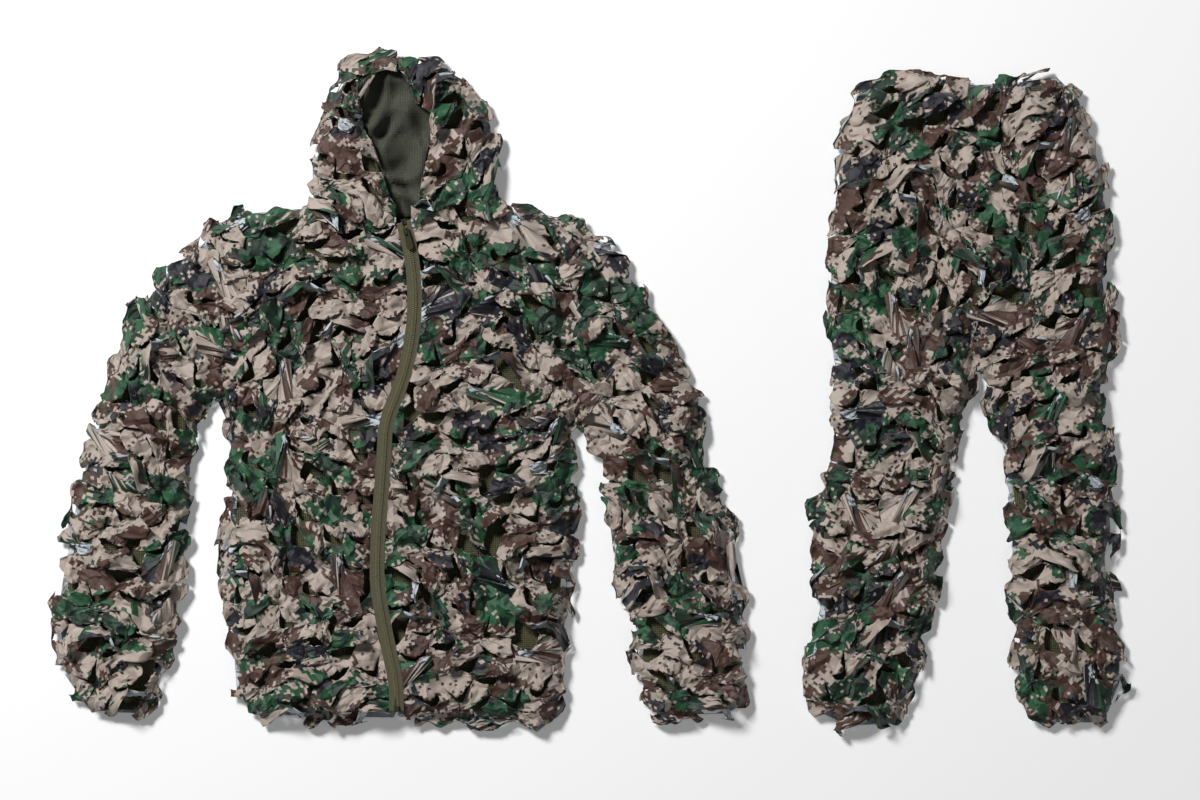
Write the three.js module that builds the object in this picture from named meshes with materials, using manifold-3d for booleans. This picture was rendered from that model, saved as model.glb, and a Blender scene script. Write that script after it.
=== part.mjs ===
// A leaf-cut camouflage suit: a hooded jacket with a full front zip, and a pair of trousers.
// Both garments lie flat, face up, side by side. Each has an inner garment of knitted net and
// an outer layer of printed cloth that is slit into hanging leaves. A layer of leaves is a
// solid here, as thick as the crumpled cloth stands, and the front layers are hollow shells
// that close on the back layers along their sides, so a body, an arm or a leg goes inside.
// Millimetres, +Z up off the surface, +Y towards the hood and the waist, +X to the trousers.
import * as THREE from "three";
import { mergeVertices } from "three/addons/utils/BufferGeometryUtils.js";
import Module from "manifold-3d";

const wasm = await Module();
wasm.setup();

// Where each garment's own origin, the foot of its centre line, is in the set.
const JACKET_AT = [-307.8, -517.5];
const TROUSERS_AT = [618.8, -530];

// Heights above the surface.
const UNDER_LEAVES = [0, 9];
const UNDER_NET = [9.3, 10.5];
const INNER_TAPE = [10.8, 12];
const SHELL_FOOT = 9.3;
const UPPER_NET = [25.9, 27.1];
const UPPER_TAPE = [24.3, 25.5];
const UPPER_LEAVES = [27.4, 42];
const HOOD_NET = [34.5, 35.7];
const HOOD_LEAVES = [36, 52];

const WALL = 8; // width of the leaves along a side seam
const NET_SET_BACK = 9; // the net stops short of the side seams' leaves
const SEAM_GAP = 0.3; // half the gap between two bodies at a fold line

// The zip: its centre line is an arc, a reverse arc and a spline, from the throat to the hem.
const ZIP_CENTRE = new THREE.Vector2(-404, 671);
const ZIP_RADIUS = 430;
const ZIP_TOP_ANGLE = 17.3; // degrees round ZIP_CENTRE from +X
const ZIP_TURN_ANGLE = -23.4;
const ZIP_TURN_RADIUS = 160;
const ZIP_LOWER = [[-27, 370], [-33, 290], [-34, 215], [-26, 160], [-14, 100], [-5, 55], [-3, 6]];
const ZIP_STEPS = 92;
const SLIDER_ANGLE = 14.5;
const TAPE = { inner: 0.7, outer: 11.5, z: [33, 34] };
const TEETH = { inner: 0.7, outer: 3, z: [34.3, 36.8] };
const LEAVES_FROM_ZIP = 13;

// Fold lines: the sleeves over the chest, the hood over the shoulders, the legs at the knee.
const LEFT_FOLD = -272;
const RIGHT_FOLD = 290;
const NECK_FOLD = 818;
const KNEE_FOLD = 392;

const DEGREE = Math.PI / 180;
const COLOURS = {
  leaves: 0x8a7a6a,
  net: 0x42421f,
  elastic: 0x2c2d24,
  tape: 0x605c42,
  teeth: 0x77735c,
  slider: 0x4a4a40,
};

const vectors = (list) => list.map(([x, y]) => new THREE.Vector2(x, y));

// A closed solid from an outline, between two heights.
function slab(outline, [low, high]) {
  const shape = new THREE.Shape(Array.isArray(outline[0]) ? vectors(outline) : outline);
  const geometry = new THREE.ExtrudeGeometry(shape, { depth: high - low, bevelEnabled: false });
  return geometry.translate(0, 0, low);
}

function toSolid(geometry) {
  const bare = geometry.clone();
  bare.deleteAttribute("normal");
  bare.deleteAttribute("uv");
  const merged = mergeVertices(bare, 1e-3);
  const index = merged.index.array;
  return new wasm.Manifold(
    new wasm.Mesh({
      numProp: 3,
      vertProperties: merged.attributes.position.array,
      triVerts: new Uint32Array(index),
    }),
  );
}

function toGeometry(solid) {
  const mesh = solid.getMesh();
  const geometry = new THREE.BufferGeometry();
  geometry.setAttribute("position", new THREE.BufferAttribute(mesh.vertProperties, 3));
  geometry.setIndex(new THREE.BufferAttribute(mesh.triVerts, 1));
  const flat = geometry.toNonIndexed();
  flat.computeVertexNormals();
  return flat;
}

// An outline moved inwards by a distance, corner by corner, along each corner's bisector.
function inset(outline, distance) {
  const points = vectors(outline);
  const turn = THREE.ShapeUtils.isClockWise(points) ? -1 : 1;
  return points.map((point, i) => {
    const before = points[(i + points.length - 1) % points.length];
    const after = points[(i + 1) % points.length];
    const a = point.clone().sub(before).normalize();
    const b = after.clone().sub(point).normalize();
    const bisector = new THREE.Vector2(-a.y - b.y, a.x + b.x).normalize();
    const reach = (turn * distance) / Math.max(0.5, bisector.dot(new THREE.Vector2(-a.y, a.x)));
    return [point.x + bisector.x * reach, point.y + bisector.y * reach];
  });
}

// A strip that follows a line of points, from one sideways offset to another.
function strip(line, from, to) {
  const side = (offset) =>
    line.map((point, i) => {
      const ahead = line[Math.min(i + 1, line.length - 1)];
      const behind = line[Math.max(i - 1, 0)];
      const along = ahead.clone().sub(behind).normalize();
      return [point.x - along.y * offset, point.y + along.x * offset];
    });
  return [...side(from), ...side(to).reverse()];
}

const rectangle = (x0, y0, x1, y1) => [[x0, y0], [x1, y0], [x1, y1], [x0, y1]];

// A front layer: the outline stands on the back layer's edge, and is hollow between its
// walls. Each way out is an outline that opens a wall, at a cuff, a neck or a fold line.
function shell(outline, ways, [under, top]) {
  let solid = toSolid(slab(outline, [SHELL_FOOT, top]));
  for (const room of [inset(outline, WALL), ...ways])
    solid = solid.subtract(toSolid(slab(room, [SHELL_FOOT - 1, under])));
  return toGeometry(solid);
}

const suit = new THREE.Group();
const jacket = new THREE.Group();
const trousers = new THREE.Group();
jacket.position.set(...JACKET_AT, 0);
trousers.position.set(...TROUSERS_AT, 0);
suit.add(jacket, trousers);

function piece(group, name, geometry, colour, roughness = 0.8, metalness = 0) {
  const material = new THREE.MeshStandardMaterial({ color: COLOURS[colour], roughness, metalness });
  const mesh = new THREE.Mesh(geometry, material);
  mesh.name = name;
  group.add(mesh);
  return mesh;
}

// The two layers of net and the two layers of leaves that make one tube of a garment.
function backLayers(group, name, outline) {
  piece(group, `${name}_back_leaves`, slab(outline, UNDER_LEAVES), "leaves");
  piece(group, `${name}_back_net`, slab(inset(outline, NET_SET_BACK), UNDER_NET), "net");
}

function frontLayers(group, name, outline, ways, leaves = UPPER_LEAVES, net = UPPER_NET) {
  piece(group, `${name}_leaves`, shell(outline, ways, leaves), "leaves");
  piece(group, `${name}_net`, slab(inset(outline, NET_SET_BACK), net), "net");
}

// A band of elastic round a tube that lies flat: a long ring, seen along the tube.
const ELASTIC = { low: 12.4, high: 24, thick: 1.4, width: 10 };
function elastic(group, name, [x, y], across, turn, low = ELASTIC.low, high = ELASTIC.high) {
  const ring = (grow) => {
    const radius = (high - low) / 2 - grow;
    const reach = across / 2 - grow - radius;
    const path = new THREE.Path();
    path.absarc(reach, 0, radius, -Math.PI / 2, Math.PI / 2, false);
    path.absarc(-reach, 0, radius, Math.PI / 2, -Math.PI / 2, false);
    return path.getPoints(6);
  };
  const shape = new THREE.Shape(ring(0));
  shape.holes.push(new THREE.Path(ring(ELASTIC.thick)));
  const settings = { depth: ELASTIC.width, bevelEnabled: false };
  const geometry = new THREE.ExtrudeGeometry(shape, settings);
  geometry.translate(0, 0, -ELASTIC.width / 2).rotateX(Math.PI / 2);
  const band = piece(group, name, geometry, "elastic");
  band.position.set(x, y, (low + high) / 2);
  band.rotation.z = turn * DEGREE;
}

// ---- Jacket body ----
const zipLine = new THREE.Path();
const turnAngle = ZIP_TURN_ANGLE * DEGREE;
const turnReach = ZIP_RADIUS + ZIP_TURN_RADIUS;
zipLine.absarc(
  ...ZIP_CENTRE, ZIP_RADIUS, ZIP_TOP_ANGLE * DEGREE, turnAngle, true,
);
zipLine.absarc(
  ZIP_CENTRE.x + turnReach * Math.cos(turnAngle),
  ZIP_CENTRE.y + turnReach * Math.sin(turnAngle),
  ZIP_TURN_RADIUS, Math.PI + turnAngle, Math.PI, false,
);
zipLine.splineThru(vectors(ZIP_LOWER));
const zipPoints = zipLine.getSpacedPoints(ZIP_STEPS);

const TORSO = [
  [-224, -3], [-262, 31], [-268, 113], [-277, 215], [-272, 345], [-264, 394],
  [-272, 458], [LEFT_FOLD, 800], [-259, 807], [-138, NECK_FOLD], [162, NECK_FOLD],
  [RIGHT_FOLD, 791], [RIGHT_FOLD, 490], [265, 452], [277, 410], [266, 378], [279, 345],
  [270, 219], [261, 123], [258, 60], [262, 40], [244, -8], [222, -28], [190, -5],
];
backLayers(jacket, "jacket", TORSO);

// The front is cut in two by the zip's gap, which widens into a notch at the throat.
const upper = zipPoints[0];
const lower = zipPoints[zipPoints.length - 1];
const gap = [
  new THREE.Vector2(upper.x + 6, NECK_FOLD + 2), ...zipPoints,
  new THREE.Vector2(lower.x, -60),
];
const zipGap = strip(gap, -LEAVES_FROM_ZIP, LEAVES_FROM_ZIP);
const leftHalf = [...gap.map(({ x, y }) => [x, y]), [-400, -60], [-400, NECK_FOLD + 2]];

// One half of the front: the torso's outline on one side of the zip's gap.
function half(outline, heights, left) {
  const whole = toSolid(slab(outline, heights)).subtract(toSolid(slab(zipGap, [0, 99])));
  const cutter = toSolid(slab(leftHalf, [0, 99]));
  return left ? whole.intersect(cutter) : whole.subtract(cutter);
}

function jacketFront(side, left) {
  const edge = strip(gap, ...(left ? [-WALL - 16, 0] : [0, WALL + 16]));
  const fold = left ? LEFT_FOLD : RIGHT_FOLD;
  const waysOut = [
    inset(TORSO, WALL),
    edge,
    rectangle(fold - 20, 532, fold + 20, 785),
    rectangle(-120, 770, 140, 850),
    rectangle(-205, -40, 190, 40),
  ];
  let leaves = half(TORSO, [SHELL_FOOT, UPPER_LEAVES[1]], left);
  for (const way of waysOut)
    leaves = leaves.subtract(toSolid(slab(way, [SHELL_FOOT - 1, UPPER_LEAVES[0]])));
  piece(jacket, `jacket_front_${side}_leaves`, toGeometry(leaves), "leaves");
  const net = half(inset(TORSO, NET_SET_BACK), UPPER_NET, left);
  piece(jacket, `jacket_front_${side}_net`, toGeometry(net), "net");
}
jacketFront("left", true);
jacketFront("right", false);

piece(jacket, "neck_seam_tape", slab(rectangle(-122, 796, 142, 808), INNER_TAPE), "tape");
piece(jacket, "hem_facing", slab(rectangle(-208, 8, 196, 24), INNER_TAPE), "net");

// ---- Zip ----
const below = (y) => zipPoints.filter((point) => point.y < y);
const above = (list, y) => list.filter((point) => point.y > y);
for (const [side, sign] of [["left", -1], ["right", 1]]) {
  const tape = strip(zipPoints, sign * TAPE.inner, sign * TAPE.outer);
  piece(jacket, `zip_tape_${side}`, slab(tape, TAPE.z), "tape");
  // The left row ends higher, above the pin that goes into the retainer box.
  const run = above(below(784), side === "left" ? 32 : 19);
  const teeth = strip(run, sign * TEETH.inner, sign * TEETH.outer);
  piece(jacket, `zip_teeth_${side}`, slab(teeth, TEETH.z), "teeth", 0.4);
  const stop = strip(above(zipPoints, 787.5), sign * TEETH.inner, sign * (TEETH.outer + 0.4));
  piece(jacket, `zip_top_stop_${side}`, slab(stop, TEETH.z), "teeth", 0.4);
}
const foot = lower.y;
const BOX = { half: 4, from: foot + 0.6, to: foot + 10.6, z: [34.3, 38] };
const box = rectangle(lower.x - BOX.half, BOX.from, lower.x + BOX.half, BOX.to);
piece(jacket, "zip_retainer_box", slab(box, BOX.z), "slider", 0.4);
const pin = rectangle(lower.x - 3.4, BOX.to + 0.4, lower.x - 1.8, 30);
piece(jacket, "zip_insert_pin", slab(pin, TEETH.z), "slider", 0.4);

// The slider: two plates on a wedge in the teeth's gap, side flanges and a bridge on top.
// In its own frame Y runs up along the zip and X across it.
const slider = new THREE.Group();
const sliderAngle = SLIDER_ANGLE * DEGREE;
slider.position.set(
  ZIP_CENTRE.x + ZIP_RADIUS * Math.cos(sliderAngle),
  ZIP_CENTRE.y + ZIP_RADIUS * Math.sin(sliderAngle),
  0,
);
slider.rotation.z = sliderAngle;
jacket.add(slider);
const PLATE = [[-3.4, -6], [3.4, -6], [4.6, -4], [4.9, 4], [3, 6.5], [-3, 6.5], [-4.9, 4], [-4.6, -4]];
const sliderParts = [
  slab(PLATE, [37.4, 39.4]),
  slab(PLATE, [31.2, 32.6]),
  slab(rectangle(-0.4, 3, 0.4, 6), [32, 38]),
  slab(rectangle(-4.6, -4, -3.7, 4), [34.7, 38]),
  slab(rectangle(3.7, -4, 4.6, 4), [34.7, 38]),
  slab(rectangle(-1.2, -4.8, 1.2, -3.6), [39, 43.7]),
  slab(rectangle(-1.2, 3.6, 1.2, 4.8), [39, 43.7]),
  slab(rectangle(-1.2, -4.8, 1.2, 4.8), [42.5, 43.7]),
];
const sliderSolid = sliderParts.map(toSolid).reduce((whole, part) => whole.add(part));
piece(slider, "zip_slider_body", toGeometry(sliderSolid), "slider", 0.4, 0.6);

// The pull: a flat tab whose eye goes round the bridge, lying down along the zip.
const PULL = { halfEnd: 4.2, halfTip: 5.5, length: 30, eye: 2.3, bar: 0.8, z: [40.2, 41.8] };
const pullShape = new THREE.Shape();
pullShape.moveTo(-PULL.halfEnd, PULL.bar);
pullShape.lineTo(-PULL.halfTip, PULL.halfTip - PULL.length);
pullShape.absarc(0, PULL.halfTip - PULL.length, PULL.halfTip, Math.PI, 2 * Math.PI, false);
pullShape.lineTo(PULL.halfEnd, PULL.bar);
pullShape.holes.push(new THREE.Path(vectors(rectangle(-PULL.eye, -8, PULL.eye, -PULL.bar))));
const pullDepth = { depth: PULL.z[1] - PULL.z[0], bevelEnabled: false, curveSegments: 8 };
const pullGeometry = new THREE.ExtrudeGeometry(pullShape, pullDepth).translate(0, 0, PULL.z[0]);
piece(slider, "zip_pull_tab", pullGeometry, "slider", 0.4, 0.6);

// ---- Hood ----
const CROWN_SEAM = -22;
const HOOD_FOOT = NECK_FOLD + 2 * SEAM_GAP;
const FACE_LEFT = [
  [-10, HOOD_FOOT], [-23, 852], [-36, 898], [-56, 951], [-65, 984], [-71, 1012], [-58, 1032],
];
const FACE_RIGHT = [
  [34, HOOD_FOOT], [39, 852], [50, 907], [54, 942], [51, 971], [26, 991], [21, 1011], [12, 1036],
];
const FACE_TOP = 1041;
const HOOD_LEFT = [
  [CROWN_SEAM, 1063], [-46, 1058], [-83, 1041], [-106, 996], [-126, 936], [-140, 899],
  [-139, 842], [-138, HOOD_FOOT],
];
const HOOD_RIGHT = [
  [CROWN_SEAM, 1063], [21, 1052], [76, 1043], [92, 1016], [126, 989], [145, 951], [153, 870],
  [158, HOOD_FOOT],
];
backLayers(jacket, "hood", [...HOOD_LEFT, ...HOOD_RIGHT.slice().reverse().slice(0, -1)]);

// Each side panel runs from the outline to the face opening, and meets the other at the
// crown seam; it is open to the face, to the other panel and down into the neck.
function hoodPanel(side, outer, face, shift) {
  const top = [[CROWN_SEAM + shift, FACE_TOP], [CROWN_SEAM + shift, 1063]];
  const outline = [...face, ...top, ...outer.slice(1)];
  const whole = [...HOOD_LEFT, ...HOOD_RIGHT.slice().reverse().slice(0, -1)];
  let leaves = toSolid(slab(outline, [SHELL_FOOT, HOOD_LEAVES[1]]));
  for (const room of [inset(whole, WALL), rectangle(-120, 800, 140, 860)])
    leaves = leaves.subtract(toSolid(slab(room, [SHELL_FOOT - 1, HOOD_LEAVES[0]])));
  piece(jacket, `hood_${side}_leaves`, toGeometry(leaves), "leaves");
  const within = toSolid(slab(inset(whole, NET_SET_BACK), HOOD_NET));
  const net = toSolid(slab(outline, HOOD_NET)).intersect(within);
  piece(jacket, `hood_${side}_net`, toGeometry(net), "net");
}
hoodPanel("left", HOOD_LEFT, FACE_LEFT, -SEAM_GAP);
hoodPanel("right", HOOD_RIGHT, FACE_RIGHT, SEAM_GAP);

const FACE_BAND = { from: 1.5, to: 5.5, z: [30, 34] };
const faceLine = vectors([...FACE_LEFT, [-20, FACE_TOP], ...FACE_RIGHT.slice().reverse()]);
const faceBand = toSolid(slab(strip(faceLine, FACE_BAND.from, FACE_BAND.to), FACE_BAND.z));
const aboveNeck = toSolid(slab(rectangle(-200, HOOD_FOOT, 200, 1100), [0, 99]));
piece(jacket, "hood_face_elastic", toGeometry(faceBand.intersect(aboveNeck)), "elastic");

// ---- Sleeves ----
const LEFT_SEAM = LEFT_FOLD - 2 * SEAM_GAP;
const RIGHT_SEAM = RIGHT_FOLD + 2 * SEAM_GAP;
const LEFT_SLEEVE = [
  [LEFT_SEAM, 800], [-300, 791], [-321, 750], [-376, 710], [-422, 649], [-461, 571],
  [-490, 446], [-523, 332], [-551, 173], [-541, 65], [-501, 6], [-416, 2], [-392, 57],
  [-366, 138], [-360, 254], [-342, 324], [-342, 381], [-335, 481], [-316, 504], [LEFT_SEAM, 519],
];
const RIGHT_SLEEVE = [
  [RIGHT_SEAM, 791], [339, 747], [378, 690], [421, 627], [452, 554], [482, 510], [477, 428],
  [530, 306], [525, 235], [544, 191], [557, 99], [556, 20], [530, 2], [418, 0], [383, 90],
  [388, 128], [350, 233], [339, 332], [339, 402], [305, 444], [RIGHT_SEAM, 480],
];
const sleeves = [
  ["left_sleeve", LEFT_SLEEVE, [-458, 14], 66, 0, LEFT_FOLD, [-494, -20, -422, 60]],
  ["right_sleeve", RIGHT_SLEEVE, [475, 14], 92, 0, RIGHT_FOLD, [426, -20, 524, 60]],
];
for (const [name, outline, cuffAt, across, turn, fold, mouth] of sleeves) {
  backLayers(jacket, name, outline);
  const ways = [rectangle(fold - 24, 532, fold + 24, 782), rectangle(...mouth)];
  frontLayers(jacket, `${name}_front`, outline, ways);
  elastic(jacket, `${name}_cuff_elastic`, cuffAt, across, turn);
}

// ---- Trousers ----
const RISE = -3; // the centre seam's place
const KNEE = KNEE_FOLD + 2 * SEAM_GAP;
const LEFT_LEG = [
  [RISE - SEAM_GAP, 1029], [-50, 1040], [-92, 1049], [-129, 1040], [-185, 1012], [-206, 936],
  [-210, 841], [-227, 732], [-228, 619], [-219, 567], [-230, 509], [-212, 460], [-220, 405],
  [-228, KNEE], [-46, KNEE], [-36, 434], [-22, 486], [-9, 541], [RISE - SEAM_GAP, 601],
];
const RIGHT_LEG = [
  [RISE + SEAM_GAP, 1029], [59, 1031], [135, 1042], [169, 1008], [194, 933], [204, 893],
  [219, 797], [208, 718], [221, 619], [204, 535], [207, 492], [221, 434], [217, KNEE],
  [54, KNEE], [57, 428], [42, 468], [24, 549], [RISE + SEAM_GAP, 601],
];
for (const [side, outline, sign, mouth] of [
  ["left", LEFT_LEG, -1, [-216, 380, -58, 420]],
  ["right", RIGHT_LEG, 1, [66, 380, 206, 420]],
]) {
  const rise = RISE + sign * 14;
  const waist = RISE + sign * 165;
  const ways = [
    rectangle(Math.min(RISE - 1, rise), 622, Math.max(RISE + 1, rise), 1060),
    rectangle(Math.min(RISE, waist), 990, Math.max(RISE, waist), 1070),
    rectangle(...mouth),
  ];
  backLayers(trousers, `trousers_${side}`, outline);
  frontLayers(trousers, `trousers_${side}_front`, outline, ways);
}
const riseTape = rectangle(RISE - 7, 622, RISE + 7, 985);
piece(trousers, "front_rise_seam_tape", slab(riseTape, UPPER_TAPE), "tape");
piece(trousers, "back_rise_seam_tape", slab(riseTape, INNER_TAPE), "tape");
elastic(trousers, "waist_elastic", [RISE, 1010], 322, 0);
elastic(trousers, "waistband_facing", [RISE, 1010], 318, 0, 14.2, 22.2);

// ---- Lower legs ----
const SHIN = KNEE_FOLD - 2 * SEAM_GAP;
const LEFT_SHIN = [
  [-229, SHIN], [-253, 345], [-248, 272], [-254, 245], [-243, 194], [-263, 102], [-258, 47],
  [-245, 16], [-201, -5], [-128, -2], [-109, 44], [-92, 80], [-91, 133], [-71, 185],
  [-62, 259], [-63, 293], [-46, SHIN],
];
const RIGHT_SHIN = [
  [216, SHIN], [222, 310], [212, 272], [214, 220], [222, 151], [240, 102], [237, 65],
  [218, 16], [203, 0], [131, 0], [89, 13], [75, 47], [78, 133], [66, 220], [66, 303], [54, SHIN],
];
for (const [name, outline, ankleAt, across, knee, mouth] of [
  ["left_lower_leg", LEFT_SHIN, [-169, 14], 84, [-216, 360, -64, 410], [-214, -20, -124, 40]],
  ["right_lower_leg", RIGHT_SHIN, [157, 14], 84, [68, 360, 204, 410], [112, -20, 202, 40]],
]) {
  backLayers(trousers, name, outline);
  frontLayers(trousers, `${name}_front`, outline, [rectangle(...knee), rectangle(...mouth)]);
  elastic(trousers, `${name}_ankle_elastic`, ankleAt, across, 0);
}

export default suit;
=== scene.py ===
# %% [markdown]
# # A leaf-cut camouflage suit, laid flat
# A hooded jacket and a pair of trousers lie side by side on a pale surface. Each garment has
# an inner garment of knitted net, and over it a printed cloth that is slit in rows into
# hanging leaves and gathered, so that the leaves curl up and the slits open onto the net.
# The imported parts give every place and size; this script gives them their looks.
# %% Load the frame
import math
import random

from functools import cache

import bmesh
import bpy
import numpy as np
from mathutils import Matrix, Vector, noise


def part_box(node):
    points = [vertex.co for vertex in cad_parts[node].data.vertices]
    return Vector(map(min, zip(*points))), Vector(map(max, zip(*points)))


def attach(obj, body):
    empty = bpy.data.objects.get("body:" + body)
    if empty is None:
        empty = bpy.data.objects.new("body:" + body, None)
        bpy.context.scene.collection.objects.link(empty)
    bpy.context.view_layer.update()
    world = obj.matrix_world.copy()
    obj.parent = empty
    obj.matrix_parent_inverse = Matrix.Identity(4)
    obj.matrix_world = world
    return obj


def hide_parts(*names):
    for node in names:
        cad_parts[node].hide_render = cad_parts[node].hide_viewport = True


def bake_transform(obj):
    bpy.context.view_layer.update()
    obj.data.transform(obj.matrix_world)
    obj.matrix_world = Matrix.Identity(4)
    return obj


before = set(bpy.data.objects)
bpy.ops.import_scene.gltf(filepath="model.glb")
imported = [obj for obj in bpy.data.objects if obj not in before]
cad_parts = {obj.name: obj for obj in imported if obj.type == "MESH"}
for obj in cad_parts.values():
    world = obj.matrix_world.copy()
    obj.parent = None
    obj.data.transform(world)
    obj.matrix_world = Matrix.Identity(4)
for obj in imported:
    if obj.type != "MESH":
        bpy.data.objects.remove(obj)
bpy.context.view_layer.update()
scene = bpy.context.scene
MM = 0.001
print("frame:", len(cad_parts), "nodes")

# %% [markdown]
# ## Camera, floor and light
# The suit is seen square on from above, so a long lens high over the floor keeps the
# outlines true. One broad soft light from the upper left draws the folds, and a pale sky
# fills the gaps between the leaves.
# %% Camera
LENS = 85
VIEW_WIDTH = 1.944
CAMERA_HEIGHT = VIEW_WIDTH * LENS / 36
camera_data = bpy.data.cameras.new("camera")
camera_data.lens = LENS
camera_data.sensor_width = 36
camera_data.clip_end = 30
camera = bpy.data.objects.new("camera", camera_data)
camera.location = (0.016, -0.0095, CAMERA_HEIGHT)
scene.collection.objects.link(camera)
scene.camera = camera
print("camera height", round(CAMERA_HEIGHT, 3))


# %% Lights and the sky
def area_light(name, place, aim, size, power):
    data = bpy.data.lights.new(name, "AREA")
    data.size = size
    data.energy = power
    lamp = bpy.data.objects.new(name, data)
    lamp.location = place
    lamp.rotation_euler = (Vector(aim) - Vector(place)).to_track_quat("-Z", "Y").to_euler()
    scene.collection.objects.link(lamp)


area_light("key", (-3.6, 3.9, 4.9), (0, 0, 0), 1.5, 590)
area_light("fill", (2.6, -2.2, 4.2), (0, 0, 0), 2.4, 16)
world = bpy.data.worlds.new("sky")
world.use_nodes = True
world.node_tree.nodes["Background"].inputs["Color"].default_value = (0.97, 0.98, 1, 1)
world.node_tree.nodes["Background"].inputs["Strength"].default_value = 0.085
scene.world = world
scene.view_settings.view_transform = "Standard"

print("lights:", [light.name for light in bpy.data.lights])

# %% The floor
FLOOR_SIZE = 24
floor_mesh = bpy.data.meshes.new("floor")
bm = bmesh.new()
bmesh.ops.create_grid(bm, x_segments=1, y_segments=1, size=FLOOR_SIZE / 2)
bm.to_mesh(floor_mesh)
bm.free()
floor = bpy.data.objects.new("floor", floor_mesh)
scene.collection.objects.link(floor)
print("floor:", FLOOR_SIZE, "m")

# %% [markdown]
# ## Materials
# Colours are written as they look on a screen and turned into the linear values that the
# shaders use. What more than one finish needs, a small woven or knitted relief, is a node
# group with named inputs, and each material keeps its own shader.


# %% Colours
def linear(red, green, blue):
    def channel(value):
        value /= 255
        return value / 12.92 if value <= 0.04045 else ((value + 0.055) / 1.055) ** 2.4

    return (channel(red), channel(green), channel(blue), 1)


TAN = linear(172, 158, 147)
GREEN = linear(34, 82, 52)
# A darker copy of the green: painted shade, which the print spreads at random over the green blobs.
GREEN_PAINTED_SHADE = linear(20, 46, 32)
BROWN = linear(76, 51, 42)
NAVY = linear(27, 25, 35)
UNDERSIDE = linear(186, 195, 201)
NET_STRAND = linear(88, 86, 48)
# The net's holes are painted near black: painted shade of the garment's inside seen through them.
NET_HOLE_PAINTED_SHADE = linear(14, 14, 8)
print("tan in linear values:", [round(channel, 3) for channel in TAN])


# %% Node helpers
class Nodes:
    """Adds nodes to one tree and joins them, so that a material reads as a few lines."""

    def __init__(self, tree):
        self.tree = tree

    def add(self, kind, settings=None, **inputs):
        node = self.tree.nodes.new(kind)
        for key, value in (settings or {}).items():
            setattr(node, key, value)
        for key, value in inputs.items():
            self.feed(node.inputs[key.replace("_", " ")], value)
        return node

    def feed(self, socket, value):
        if isinstance(value, bpy.types.NodeSocket):
            self.tree.links.new(value, socket)
        else:
            socket.default_value = value

    def math(self, operation, *values):
        node = self.tree.nodes.new("ShaderNodeMath")
        node.operation = operation
        for socket, value in zip(node.inputs, values):
            self.feed(socket, value)
        return node.outputs[0]

    def mix(self, factor, first, second):
        node = self.tree.nodes.new("ShaderNodeMix")
        node.data_type = "RGBA"
        self.feed(node.inputs[0], factor)
        self.feed(node.inputs[6], first)
        self.feed(node.inputs[7], second)
        return node.outputs[2]


def new_group(name, inputs, outputs):
    group = bpy.data.node_groups.new(name, "ShaderNodeTree")
    for label, kind, value in inputs:
        socket = group.interface.new_socket(label, in_out="INPUT", socket_type=kind)
        if value is not None:
            socket.default_value = value
    for label, kind in outputs:
        group.interface.new_socket(label, in_out="OUTPUT", socket_type=kind)
    return group, Nodes(group), group.nodes.new("NodeGroupInput"), group.nodes.new("NodeGroupOutput")


def new_material(name):
    material = bpy.data.materials.new(name)
    material.use_nodes = True
    return material, Nodes(material.node_tree), material.node_tree.nodes["Principled BSDF"]


# %% [markdown]
# ### The camouflage print
# A digital print is made of square dots. Snapping the cloth's own flat coordinates to the
# dot size and reading soft noise at each dot gives blobs with stepped edges; a little
# per-dot noise added before the threshold scatters single dots along them. Within the green
# blobs, smaller blobs of a darker green are painted shade, not a colour of the print.
# %% The dot print as a node group
DOT = 0.0049
camo_and_painted_shade, nodes, given, out = new_group(
    "dot_print_and_painted_shade", [("Cloth", "NodeSocketVector", None)], [("Color", "NodeSocketColor")]
)
dots = nodes.add("ShaderNodeVectorMath", {"operation": "SNAP"})
nodes.feed(dots.inputs[0], given.outputs["Cloth"])
nodes.feed(dots.inputs[1], (DOT, DOT, 1))
runs = nodes.add("ShaderNodeVectorMath", {"operation": "SNAP"})
nodes.feed(runs.inputs[0], given.outputs["Cloth"])
nodes.feed(runs.inputs[1], (DOT, 3 * DOT, 1))


def speck(seed, place):
    """A random value for each dot, or for each upright run of dots."""
    value = nodes.add("ShaderNodeTexWhiteNoise", {"noise_dimensions": "4D"}, Vector=place, W=seed)
    return value.outputs["Value"]


def blobs(seed, size, threshold, scatter, stretch):
    """1 where a colour is printed: noise of one blob size past a threshold, dot by dot."""
    turned = nodes.add("ShaderNodeMapping", Vector=dots.outputs[0], Location=(3.1 * seed, 1.7 * seed, seed))
    turned.inputs["Scale"].default_value = (1, stretch, 1)
    field = nodes.add("ShaderNodeTexNoise", Vector=turned.outputs[0], Scale=1 / size, Detail=1.0)
    both = nodes.math("ADD", speck(seed, dots.outputs[0]), speck(seed + 0.5, runs.outputs[0]))
    level = nodes.math("MULTIPLY_ADD", both, scatter / 2, field.outputs[0])
    return nodes.math("GREATER_THAN", level, threshold + scatter / 2)


def stray(seed, share):
    """1 on a few single dots."""
    return nodes.math("LESS_THAN", speck(seed, dots.outputs[0]), share)


colour = nodes.mix(stray(11, 0.045), TAN, BROWN)
colour = nodes.mix(blobs(2, 0.065, 0.545, 0.16, 1.2), colour, nodes.mix(stray(12, 0.03), BROWN, TAN))
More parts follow.
